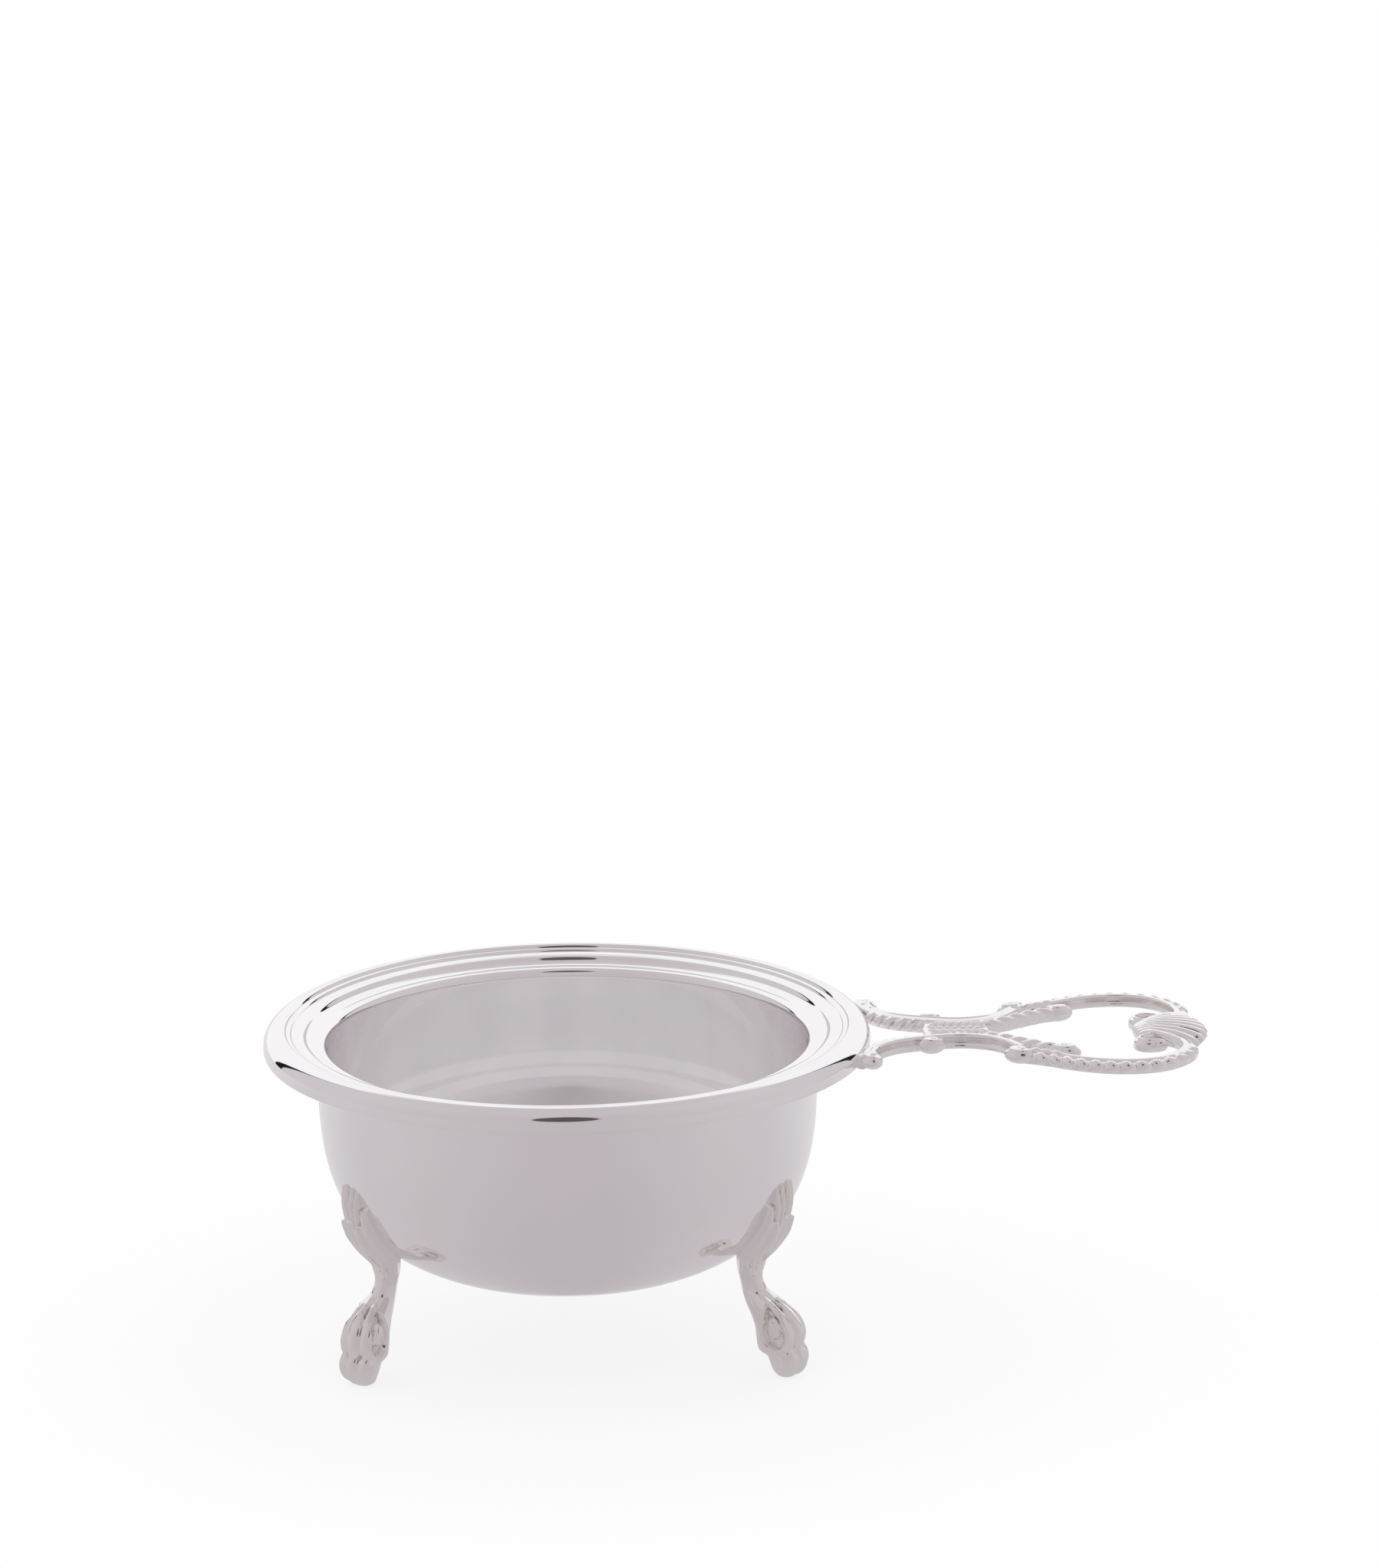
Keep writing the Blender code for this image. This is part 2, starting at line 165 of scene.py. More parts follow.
def superellipse(radius, base_z, top_z, fullness, step=0.35):
    """Section of a bowl from its waist down to the pole."""
    across, down = fullness
    angle = np.linspace(np.pi / 2, 0, 4000)
    r = radius * np.sin(angle) ** (2 / across)
    z = top_z - (top_z - base_z) * np.clip(np.cos(angle), 0, 1) ** (2 / down)
    return even_steps(np.stack([r, z], -1), step)


def bowl_height(r, radius, base_z, top_z, fullness):
    """Height of a superellipse bowl's surface at a radius."""
    across, down = fullness
    share = np.clip(1 - (np.asarray(r) / radius) ** across, 0, 1) ** (1 / down)
    return top_z - (top_z - base_z) * share


def bowl_radius(z):
    """Outside radius of the drip bowl at a height."""
    across, down = BOWL_FULLNESS
    drop = np.clip((BOWL_WAIST_Z - z) / (BOWL_WAIST_Z - BOWL_BASE_Z), 0, 1)
    return BOWL_RADIUS * (1 - drop ** down) ** (1 / across)


def ring_faces(first, second, count):
    """Quads between two rings given by their first vertex numbers."""
    return [
        (first + i, second + i, second + (i + 1) % count, first + (i + 1) % count)
        for i in range(count)
    ]


def turned(name, section):
    """Solid of revolution: the section starts and ends on the axis, down its outer side."""
    angle = np.arange(ROUND) * TURN / ROUND
    body = section[1:-1]
    rings = np.stack([
        body[:, :1] * np.cos(angle), body[:, :1] * np.sin(angle),
        np.repeat(body[:, 1:], ROUND, 1),
    ], -1).reshape(-1, 3)
    top = len(rings)
    vertices = np.vstack([rings, [[0, 0, section[0][1]], [0, 0, section[-1][1]]]])
    faces = []
    for k in range(len(body) - 1):
        faces += ring_faces(k * ROUND, (k + 1) * ROUND, ROUND)
    last = (len(body) - 1) * ROUND
    for i in range(ROUND):
        j = (i + 1) % ROUND
        faces.append((top, i, j))
        faces.append((last + j, last + i, top + 1))
    shape = add_object(name, vertices, faces)
    shape.data.shade_smooth()
    return shape


def make_drip_bowl(material):
    outside = superellipse(BOWL_RADIUS, BOWL_BASE_Z, BOWL_WAIST_Z, BOWL_FULLNESS)
    inside = superellipse(
        BOWL_RADIUS - BOWL_WALL, BOWL_BASE_Z + BOWL_WALL, BOWL_WAIST_Z, BOWL_FULLNESS
    )
    half = BOWL_WALL / 2
    angle = np.linspace(math.pi, 0, 9)
    mouth = np.stack([
        BOWL_RADIUS - half + half * np.cos(angle),
        BOWL_MOUTH_Z - half + half * np.sin(angle),
    ], -1)
    section = np.vstack([inside[::-1], mouth, outside])
    bowl = turned("drip_bowl_shell", section)
    return finish_piece(bowl, "stand", "drip_bowl", material)


# Flange section: in from the lip's radius and down from the crest, in millimetres
LIP_EDGE = (
    (0.35, 3.40), (0.12, 3.35), (0.00, 3.05), (0.00, 2.40), (0.10, 1.80), (0.40, 1.25), (0.90, 0.75),
    (1.50, 0.40), (1.95, 0.28),
)
REED_VALLEYS = ((1.95, 0.28), (2.10, 0.33), (3.00, 0.68), (3.70, 1.00), (5.20, 1.20))
REED_CRESTS = (0.0, 0.26, 0.15, 0.10)
STEEP_STEP = (
    (5.20, 1.20), (5.40, 1.40), (5.52, 1.62), (5.65, 1.80), (6.00, 2.00), (6.40, 2.14), (6.90, 2.22),
)
THROAT_ROLL = ((6.90, 2.22), (7.35, 2.23), (7.80, 2.34), (8.12, 2.62), (8.27, 3.10), (8.30, 3.40))
FLANGE_UNDERSIDE = (
    (0.35, 3.40), (0.60, 3.28), (0.70, 2.50), (1.10, 1.70), (2.00, 1.15), (3.20, 1.35), (4.80, 1.90),
    (5.60, 2.50), (6.50, 2.60), (7.30, 2.60), (7.75, 2.80), (7.84, 3.20), (7.85, 3.35),
)


def flange_curve(places):
    """Section points from distances in from the lip and down from the crest."""
    return np.array([(LIP_RADIUS - inward, CREST_Z - down) for inward, down in places])


def flange_top():
    """Section of the flange from the lip's foot over its mouldings to the throat."""
    valleys = flange_curve(REED_VALLEYS)
    parts = [curve_through(flange_curve(LIP_EDGE))]
    for start, end, height in zip(valleys, valleys[1:], REED_CRESTS):
        parts.append(bulge(start, end, -height))
    parts.append(curve_through(flange_curve(STEEP_STEP)))
    throat = STRAINER_RADIUS - STRAINER_WALL
    roll = curve_through(flange_curve(THROAT_ROLL))
    parts.append(np.vstack([roll, [(throat, STRAINER_TOP_Z - 0.1)]]))
    return np.vstack([even_steps(part, 0.12) for part in parts])


def flange_under():
    """Underside of the hollow flange from the lip in to the strainer's outer wall."""
    return even_steps(curve_through(flange_curve(FLANGE_UNDERSIDE)), 0.25)


def hole_centres():
    centres = [(0.0, 0.0)]
    for ring in range(1, HOLE_RINGS + 1):
        for i in range(6 * ring):
            angle = TURN * (i + 0.5) / (6 * ring)
            centres.append((ring * HOLE_PITCH * math.cos(angle), ring * HOLE_PITCH * math.sin(angle)))
    return np.array(centres)


def pierced_plan():
    """Plan triangulation of the pierced disc: points, triangles and each hole's rim."""
    sides = 24
    points = []
    edges = []
    rims = []
    angle = np.arange(sides) * TURN / sides
    round_hole = np.stack([np.cos(angle), np.sin(angle)], -1)
    centres = hole_centres()
    for centre in centres:
        first = len(points)
        points += (centre + round_hole * HOLE_DIAMETER / 2).tolist()
        rims.append(list(range(first, first + sides)))
        edges += [(first + i, first + (i + 1) % sides) for i in range(sides)]
    for centre in centres:
        points += (centre + round_hole * (HOLE_DIAMETER / 2 + 0.14)).tolist()
    edge_angle = np.arange(ROUND) * TURN / ROUND
    first = len(points)
    border = np.stack([np.cos(edge_angle), np.sin(edge_angle)], -1) * PIERCED_RADIUS
    points += border.tolist()
    edges += [(first + i, first + (i + 1) % ROUND) for i in range(ROUND)]
    spacing = 0.55
    rows = int(PIERCED_RADIUS / spacing) + 2
    for row in range(-rows, rows + 1):
        for column in range(-rows, rows + 1):
            p = np.array([(column + 0.5 * (row % 2)) * spacing, row * spacing * 0.866])
            clear = np.linalg.norm(centres - p, axis=1).min() > HOLE_DIAMETER / 2 + 0.4
            if clear and np.linalg.norm(p) < PIERCED_RADIUS - 0.35:
                points.append(p.tolist())
    out, _, triangles, _, _, _ = delaunay_2d_cdt([Vector(p) for p in points], edges, [], 0, 1e-7)
    out = np.array([tuple(p) for p in out])
    kept = []
    for triangle in triangles:
        middle = out[list(triangle)].mean(0)
        inside_hole = np.linalg.norm(centres - middle, axis=1).min() < HOLE_DIAMETER / 2 - 0.01
        if not inside_hole and np.linalg.norm(middle) < PIERCED_RADIUS:
            kept.append(tuple(triangle))
    return out, kept, rims, list(range(first, first + ROUND))


def make_strainer_bowl(material):
    inner_radius = STRAINER_RADIUS - STRAINER_WALL
    inner_base = STRAINER_BASE_Z + STRAINER_WALL
    inside = superellipse(inner_radius, inner_base, STRAINER_TOP_Z, STRAINER_FULLNESS)
    outside = superellipse(STRAINER_RADIUS, STRAINER_BASE_Z, STRAINER_TOP_Z, STRAINER_FULLNESS)
    inside = inside[(inside[:, 0] > PIERCED_RADIUS + 0.2)][1:]
    outside = outside[(outside[:, 0] > PIERCED_RADIUS + 0.2)][1:]
    section = np.vstack([inside[::-1], flange_top()[::-1], flange_under()[1:], outside])
    plan, triangles, rims, border = pierced_plan()
    radius = np.linalg.norm(plan, axis=1)
    sheets = []
    for r0, base in ((inner_radius, inner_base), (STRAINER_RADIUS, STRAINER_BASE_Z)):
        height = bowl_height(radius, r0, base, STRAINER_TOP_Z, STRAINER_FULLNESS)
        sheets.append(np.column_stack([plan, height]))
    rim_list = [i for rim in rims for i in rim]
    soften = 0.05
    sheets[0][rim_list, 2] -= soften
    sheets[1][rim_list, 2] += soften
    count = len(plan)
    vertices = sheets
    faces = [tuple(t) for t in triangles]
    faces += [tuple(count + i for i in reversed(t)) for t in triangles]
    for rim in rims:
        for a, b in zip(rim, rim[1:] + rim[:1]):
            faces.append((b, a, count + a, count + b))
    angle = np.arange(ROUND) * TURN / ROUND
    wall = np.stack([
        section[:, :1] * np.cos(angle), section[:, :1] * np.sin(angle),
        np.repeat(section[:, 1:], ROUND, 1),
    ], -1).reshape(-1, 3)
    start = 2 * count
    for k in range(len(section) - 1):
        faces += ring_faces(start + k * ROUND, start + (k + 1) * ROUND, ROUND)
    last = start + (len(section) - 1) * ROUND
    for i in range(ROUND):
        j = (i + 1) % ROUND
        faces.append((border[i], start + i, start + j, border[j]))
        faces.append((last + i, count + border[i], count + border[j], last + j))
    shape = add_object("strainer_bowl_pierced", np.vstack(vertices + [wall]), faces)
    shape.data.shade_smooth()
    shape.data.set_sharp_from_angle(angle=math.radians(50))
    return finish_piece(shape, "strainer", "strainer_bowl", material)


# ---------------------------------------------------------------- castings

class Casting:
    """Closed lumps in millimetres, fused afterwards into one cast piece."""

    def __init__(self):
        self.vertices = []
        self.faces = []

    def add(self, vertices, faces):
        first = len(self.vertices)
        self.vertices += [tuple(v) for v in vertices]
        self.faces += [tuple(first + i for i in face) for face in faces]

    def loft(self, rings):
        """Rings of equal count, each anticlockwise seen from the far end."""
        count = len(rings[0])
        vertices = [p for ring in rings for p in ring]
        faces = [tuple(range(count))[::-1]]
        for k in range(len(rings) - 1):
            a, b = k * count, (k + 1) * count
            faces += [(a + i, a + (i + 1) % count, b + (i + 1) % count, b + i) for i in range(count)]
        last = (len(rings) - 1) * count
        faces.append(tuple(range(last, last + count)))
        self.add(vertices, faces)

    def lump(self, centre, radii, turn=(0.0, 0.0, 0.0)):
        """Ellipsoid; turn is an XYZ rotation in degrees."""
        rotation = Euler([math.radians(a) for a in turn]).to_matrix()
        rings = []
        for polar in np.linspace(0.12, math.pi - 0.12, 11)[::-1]:
            ring = []
            for i in range(16):
                around = TURN * i / 16
                local = Vector((
                    radii[0] * math.sin(polar) * math.cos(around),
                    radii[1] * math.sin(polar) * math.sin(around),
                    radii[2] * math.cos(polar),
                ))
                ring.append(tuple(Vector(centre) + rotation @ local))
            rings.append(ring)
        self.loft(rings)

    def cord(self, path, radii, flat=1.0):
        """Round cord along a 3-D path, thinning as radii say; flat scales its height."""
        path = np.asarray(path, float)
        radii = np.interp(np.linspace(0, 1, len(path)), np.linspace(0, 1, len(radii)), radii)
        rings = []
        last = None
        for k, here in enumerate(path):
            along = path[min(k + 1, len(path) - 1)] - path[max(k - 1, 0)]
            along /= np.linalg.norm(along)
            side = np.cross([0, 0, 1], along)
            if last is not None and (np.linalg.norm(side) < 0.3 or np.dot(side, last) < 0):
                side = last - along * np.dot(last, along)
            side /= np.linalg.norm(side)
            last = side
            up = np.cross(along, side)
            rings.append([
                tuple(here + radii[k] * (math.cos(a) * side + flat * math.sin(a) * up))
                for a in np.arange(12) * TURN / 12
            ])
        self.loft(rings)

    def moulding(self, path, section, widths):
        """Sweep of a section (across, height) along a plan path; widths scale it."""
        path = np.asarray(path, float)
        widths = np.interp(np.linspace(0, 1, len(path)), np.linspace(0, 1, len(widths)), widths)
        rings = []
        for k, here in enumerate(path):
            along = path[min(k + 1, len(path) - 1)] - path[max(k - 1, 0)]
            along /= np.linalg.norm(along)
            across = np.array([-along[1], along[0]])
            rings.append([
                (*(here + across * s * widths[k]), HANDLE_BASE_Z + h)
                for s, h in section
            ])
        self.loft(rings)

    def fuse(self, name, voxel, smoothing):
        """One closed mesh round all the lumps, softened as a casting is."""
        rough = add_object(name + "_lumps", self.vertices, self.faces, scale=1.0)
        remesh = rough.modifiers.new("fuse", "REMESH")
        remesh.mode = "VOXEL"
        remesh.voxel_size = voxel
        soften = rough.modifiers.new("soften", "SMOOTH")
        soften.factor = 0.5
        soften.iterations = smoothing
        mesh = bpy.data.meshes.new_from_object(
            rough.evaluated_get(bpy.context.evaluated_depsgraph_get())
        )
        bpy.data.objects.remove(rough)
        mesh.name = name
        shape = bpy.data.objects.new(name, mesh)
        bpy.context.scene.collection.objects.link(shape)
        return shape


def coordinates(mesh):
    co = np.zeros(len(mesh.vertices) * 3)
    mesh.vertices.foreach_get("co", co)
    return co.reshape(-1, 3)


def normals(mesh):
    n = np.zeros(len(mesh.vertices) * 3)
    mesh.vertices.foreach_get("normal", n)
    return n.reshape(-1, 3)


def mark_cavities(shape, rounds=24, depth=0.12):
    """Store how deep each point lies in a hollow, 0 to 1, for the patina."""
    mesh = shape.data
    co = coordinates(mesh)
    edges = np.zeros(len(mesh.edges) * 2, int)
    mesh.edges.foreach_get("vertices", edges)
    a, b = edges.reshape(-1, 2).T
    degree = np.bincount(a, minlength=len(co)) + np.bincount(b, minlength=len(co))
    blurred = co.copy()
    for _ in range(rounds):
        total = np.stack([
            np.bincount(a, blurred[b, k], len(co)) + np.bincount(b, blurred[a, k], len(co))
            for k in range(3)
        ], -1)
        blurred = total / degree[:, None]
    hollow = ((blurred - co) * normals(mesh)).sum(1) / (depth * MM)
    attribute = mesh.attributes.new("cavity", "FLOAT", "POINT")
    attribute.data.foreach_set("value", np.clip(hollow, 0, 1).astype(np.float32))


def settle(shape, body, node, material):
    """Take a fused casting from millimetres to metres and finish it."""
    shape.data.transform(Matrix.Scale(MM, 4))
    shape.data.shade_smooth()
    mark_cavities(shape)
    return finish_piece(shape, body, node, material)


# ---------------------------------------------------------------- handle

FLUTED = (                       # arm section: outwards from the middle, and height
    (0.55, 0.00), (0.80, 0.10), (0.88, 0.36), (0.80, 0.56), (0.50, 0.80), (0.44, 1.15), (0.52, 1.50),
    (0.80, 1.72), (0.84, 1.92), (0.62, 2.10), (0.30, 1.92), (-0.10, 1.84), (-0.45, 1.90), (-0.66, 1.78),
    (-0.72, 1.50), (-0.66, 0.30), (-0.50, 0.00),
)
LOOP_SECTION = (
    (0.60, 0.00), (0.85, 0.15), (0.92, 0.55), (0.84, 0.95), (0.62, 1.25), (0.25, 1.42), (0.05, 1.42),
    (-0.15, 1.62), (-0.45, 1.80), (-0.80, 1.76), (-0.92, 1.52), (-0.58, 1.26), (-0.48, 0.98),
    (-0.54, 0.70), (-0.86, 0.52), (-0.90, 0.16), (-0.70, 0.00),
)
ROPE = (
    (0.55, 0.05), (0.70, 0.30), (0.74, 0.85), (0.66, 1.40), (0.35, 1.72), (-0.10, 1.80), (-0.50, 1.62),
    (-0.70, 1.20), (-0.74, 0.60), (-0.64, 0.18), (-0.40, 0.00),
)
ARM_POINTS = (
    (39.3, 11.0), (40.6, 8.0), (42.9, 5.7), (46.6, 4.2), (51.5, 3.2), (55.4, 4.1), (57.8, 6.1),
    (59.4, 8.6),
)
ROPE_POINTS = ((54.2, 2.5), (57.0, 3.5), (60.2, 5.9), (62.8, 7.7), (64.6, 8.5))
LOOP_POINTS = (
    (59.8, 10.3), (62.8, 11.6), (66.6, 13.9), (70.2, 15.2), (73.8, 15.5), (77.0, 14.7), (79.5, 12.8),
    (81.1, 10.2), (81.6, 7.6), (81.0, 5.3), (79.5, 3.7), (77.3, 2.9), (75.4, 3.6), (74.9, 5.1),
    (76.0, 6.2), (77.8, 6.1),
)
ROPE_PITCH = 6.6
STRAND_STEP = 0.25
WAIST_WEB = (
    (47.4, -3.6), (51.2, -2.9), (55.0, -3.8), (55.6, 0.0), (55.0, 3.8), (51.2, 2.9), (47.4, 3.6),
    (46.9, 0.0),
)
WEB_HEIGHTS = (0.35, 1.62)
SCROLLS = (                      # x, y, long and short radius, heading of the long axis
    (39.8, 11.9, 2.0, 1.45, 70), (47.9, 5.5, 1.85, 0.9, -6), (59.1, 10.1, 2.1, 1.5, 25),
    (65.3, 8.9, 2.05, 1.2, 15),
)


def scroll_end(casting, x, y, long, short, heading, side, inward):
    """Scrolled end of a bar: a smooth knob below, a coiled rim and a boss on top."""
    turn = heading * side
    casting.lump((x, y, HANDLE_BASE_Z + 0.95), (long, short, 1.1), (0, 0, turn))
    coil = []
    start = math.radians(turn + (180 if inward else 0))
    for t in np.linspace(0, 1, 44):
        reach = 0.70 - 0.46 * t
        angle = (-1 if inward else 1) * side * TURN * 1.1 * t
        local = Vector((long * reach * math.cos(angle), short * reach * math.sin(angle)))
        around = Matrix.Rotation(start, 2) @ local
        coil.append((x + around.x, y + around.y, HANDLE_BASE_Z + 1.62 + 0.30 * t))
    casting.cord(coil, (0.32, 0.28, 0.22), 1.1)
    casting.lump((x, y, HANDLE_BASE_Z + 1.86), (0.32, 0.30, 0.30))


def place_along(path, spacing, start=0.0, end=1.0):
    """Points and headings every spacing along part of a plan path."""
    path = np.asarray(path, float)
    lengths = np.r_[0, np.cumsum(np.linalg.norm(np.diff(path, axis=0), axis=1))]
    marks = np.arange(lengths[-1] * start, lengths[-1] * end, spacing)
    places = []
    for mark in marks:
        here = np.array([np.interp(mark, lengths, path[:, k]) for k in range(2)])
        ahead = np.array([np.interp(mark + 0.05, lengths, path[:, k]) for k in range(2)])
        places.append((here, math.degrees(math.atan2(*(ahead - here)[::-1]))))
    return places


def outwards(heading, side):
    """Unit vector to the outer side of a bar that runs at this heading."""
    return np.array([-math.sin(math.radians(heading)), math.cos(math.radians(heading))]) * side


def swept(casting, path, section, widths, side):
    """A bar whose section is mirrored along with its side of the handle."""
    mirrored = [(s * side, h) for s, h in section]
    casting.moulding(path, mirrored if side > 0 else mirrored[::-1], widths)


def handle_side(casting, side):
    mirror = np.array([1, side])
    arm = curve_through(np.array(ARM_POINTS) * mirror, 8)
    rope = curve_through(np.array(ROPE_POINTS) * mirror, 8)
    loop = curve_through(np.array(LOOP_POINTS) * mirror, 8)
    swept(casting, arm, FLUTED, (1.1, 1.05, 1.0, 1.0, 1.0, 1.0, 0.9), side)
    swept(casting, rope, ROPE, (0.7, 0.85, 0.9, 0.9, 0.9), side)
    swept(casting, loop, LOOP_SECTION,
          (0.9, 1.0, 1.0, 1.0, 1.0, 1.0, 1.05, 1.15, 1.15, 0.95, 0.75, 0.6, 0.55, 0.55, 0.5, 0.4), side)
    for k, (x, y, long, short, heading) in enumerate(SCROLLS):
        scroll_end(casting, x, y * side, long, short, heading, side, k == 3)
    casting.lump((77.9, 6.0 * side, HANDLE_BASE_Z + 0.85), (0.95, 0.7, 0.85))
    # scalloped gadroons over the loop's outer shoulder
    for here, heading in place_along(loop, 1.95, 0.06, 0.64):
        spot = here + outwards(heading, side) * 0.42
        casting.lump((*spot, HANDLE_BASE_Z + 0.90), (1.12, 0.70, 0.82), (0, 14, heading + 16 * side))
    # overlapping leaves slanting up the arm's inner side
    for here, heading in place_along(arm, 1.5, 0.10, 0.44):
        out = outwards(heading, side)
        ahead = np.array([math.cos(math.radians(heading)), math.sin(math.radians(heading))])
        leaf = [(*(here + ahead * forth - out * off), HANDLE_BASE_Z + h)
                for forth, off, h in ((0.0, 0.55, 0.35), (0.9, 0.75, 1.05), (1.9, 0.40, 1.78))]
        casting.cord(curve_through(leaf, 6), (0.30, 0.52, 0.26))
    # three strands wound round the rope
    strand_path = even_steps(rope, STRAND_STEP)
    for strand in range(3):
        wound = []
        for k, here in enumerate(strand_path):
            turn = TURN * (k * STRAND_STEP / ROPE_PITCH + strand / 3)
            run = strand_path[min(k + 1, len(strand_path) - 1)] - strand_path[max(k - 1, 0)]
            heading = math.degrees(math.atan2(run[1], run[0]))
            spot = here + outwards(heading, side) * 0.42 * math.cos(turn)
            wound.append((*spot, HANDLE_BASE_Z + 0.98 + 0.62 * math.sin(turn)))
        casting.cord(wound, (0.44, 0.5, 0.5, 0.44))
    # a sprig of three leaves where the loop leaves the outer scroll
    for along, reach in ((61.4, 0.9), (62.6, 1.1), (63.9, 1.0)):
        base = (along, (10.2 + 0.6 * (along - 61.4)) * side, HANDLE_BASE_Z + 1.5)
        casting.lump(base, (reach, 0.42, 0.5), (0, 0, 32 * side))
    # slanting leaf veins beside the bead row
    for x in np.arange(47.6, 54.4, 1.05):
        vein = [(x, 0.75 * side, HANDLE_BASE_Z + 1.62), (x + 0.8, 1.5 * side, HANDLE_BASE_Z + 1.86),
                (x + 1.9, 2.5 * side, HANDLE_BASE_Z + 1.8)]
        casting.cord(curve_through(vein, 5), (0.16, 0.24, 0.2))


def shell_fan(casting):
    """Scallop at the handle's tip: nine flutes fanning out from a rolled root."""
    flutes = 9
    base_z = HANDLE_BASE_Z
    for k in range(flutes):
        u = 2 * k / (flutes - 1) - 1
        root = np.array([74.95 + 0.5 * u * u, 2.1 * u])
        tip = np.array([84.15 - 2.6 * u * u, 7.3 * u])
        spread = (0.0, 0.03, 0.2, 0.45, 0.72, 0.92, 1.0)
        inward = (0.0, 0.0, 0.2, 0.45, 0.72, 0.92, 1.0)
        height = (0.45, 1.5, 2.0, 2.02, 1.72, 1.15, 0.5)
        path = []
        for s, t, h in zip(spread, inward, height):
            place = root * (1 - t) + tip * t
            place[1] = root[1] * (1 - s ** 1.35) + tip[1] * s ** 1.35
            path.append((*place, base_z + h - 0.30 * u * u * min(h, 1.0)))
        casting.cord(curve_through(path, 6), (0.26, 0.30, 0.36, 0.46, 0.60, 0.74, 0.62), 0.95)
    # solid body under the flutes
    rings = []
    for h, grow in ((0.15, 0.86), (0.6, 0.97), (1.3, 0.80)):
        ring = [(75.3, 1.9 * grow, base_z + h), (75.3, -1.9 * grow, base_z + h)]
        for k in range(-8, 9):
            u = k / 8
            ring.append((79.0 + (84.3 - 2.6 * u * u - 79.0) * grow, 7.3 * u * grow, base_z + h))
        rings.append(ring)
    casting.loft(rings)


def make_handle(material):
    casting = Casting()
    for side in (1, -1):
        handle_side(casting, side)
    shell_fan(casting)
    # web and bead row at the waist
    casting.loft([[(x, y, HANDLE_BASE_Z + h) for x, y in WAIST_WEB] for h in WEB_HEIGHTS])
    for x in np.arange(48.2, 54.9, 1.0):
        casting.lump((x, 0.0, HANDLE_BASE_Z + 1.6), (0.44, 0.44, 0.44))
    # tabs soldered against the flange's lip
    for side in (1, -1):
        tab = curve_through(np.array([(38.3, 12.6), (39.2, 11.0), (39.9, 9.0)]) * (1, side), 8)
        swept(casting, tab, FLUTED, (0.8, 0.9, 0.7), side)
    shape = casting.fuse("handle_casting", 0.12, 2)
    mesh = shape.data
    co = coordinates(mesh)
    reach = np.hypot(co[:, 0], co[:, 1])
    lip = LIP_RADIUS - 0.05
    inside = reach < lip
    co[inside, :2] *= (lip / reach[inside])[:, None]
    mesh.vertices.foreach_set("co", co.ravel())
    return settle(shape, "strainer", "handle", material)


# ---------------------------------------------------------------- feet

LEG_STATIONS = (                 # height, back, front, half-width
    (0.0, 31.2, 33.3, 1.3), (0.8, 30.5, 33.9, 1.9), (2.1, 30.0, 34.2, 2.25), (2.8, 29.7, 34.1, 2.35),
    (3.3, 28.6, 34.0, 2.5), (3.9, 28.3, 33.9, 2.55), (5.2, 28.1, 33.9, 2.6), (6.6, 27.9, 33.8, 2.55),
    (8.0, 27.3, 32.9, 2.3),
    (9.4, 26.6, 31.0, 2.0), (10.8, 26.0, 29.5, 1.6), (12.5, 25.6, 28.6, 1.4), (14.2, 25.2, 28.7, 1.55),
    (16.0, 25.2, 29.1, 1.75), (18.0, 26.2, 30.0, 1.8), (20.0, 28.0, 30.8, 1.5),
)
FINGER_SIDES = (-1.5, 0.0, 1.5)
KNUCKLE = (                      # height, distance, share of the finger's side offset, radius
    (12.6, 27.3, 0.25, 0.45), (11.2, 28.1, 0.40, 0.80), (9.8, 29.5, 0.60, 1.08), (8.6, 31.2, 0.80, 1.24),
    (7.3, 32.6, 0.95, 1.32), (6.1, 33.3, 1.00, 1.35), (5.0, 33.4, 1.00, 1.30), (3.9, 33.2, 1.00, 1.05),
)
TOE = (
    (4.3, 32.9, 1.00, 0.88), (3.2, 33.7, 1.00, 1.22), (2.1, 33.9, 0.95, 1.25), (1.3, 33.4, 0.88, 1.12),
    (0.9, 32.4, 0.80, 0.80),
)
LEAF_LOBES = (                   # spine (height, side), widths and heights along it, for one side
    (((17.8, 0.45), (21.5, 0.6), (24.5, 0.8), (26.6, 0.85)),
     (0.50, 0.42, 0.36, 0.14), (2.4, 2.0, 1.3, 0.3)),
    (((17.8, 1.2), (21.5, 1.5), (24.3, 1.8), (26.2, 1.95)),
     (0.50, 0.42, 0.36, 0.14), (2.3, 1.9, 1.2, 0.3)),
    (((17.4, 1.5), (19.8, 2.2), (22.2, 2.6), (24.0, 2.8)),
     (0.70, 0.70, 0.60, 0.30), (2.0, 1.7, 1.4, 0.8)),
    (((16.2, 0.8), (18.4, 1.4), (20.4, 1.8), (22.1, 2.0)),
     (0.95, 0.95, 0.85, 0.55), (2.8, 2.8, 2.7, 2.2)),
)
LEAF_SPINE = (
    ((15.8, 0.0), (18.4, 0.0), (20.4, 0.0), (22.4, 0.0)),
    (1.0, 1.0, 0.8, 0.5), (3.0, 2.8, 2.7, 2.2),
)
ARCH = ((13.4, 27.9, 1.30), (15.4, 28.3, 1.58), (16.8, 27.8, 1.72), (17.2, 27.2, 1.75), (16.0, 26.5, 1.62),
        (14.0, 26.3, 1.35))


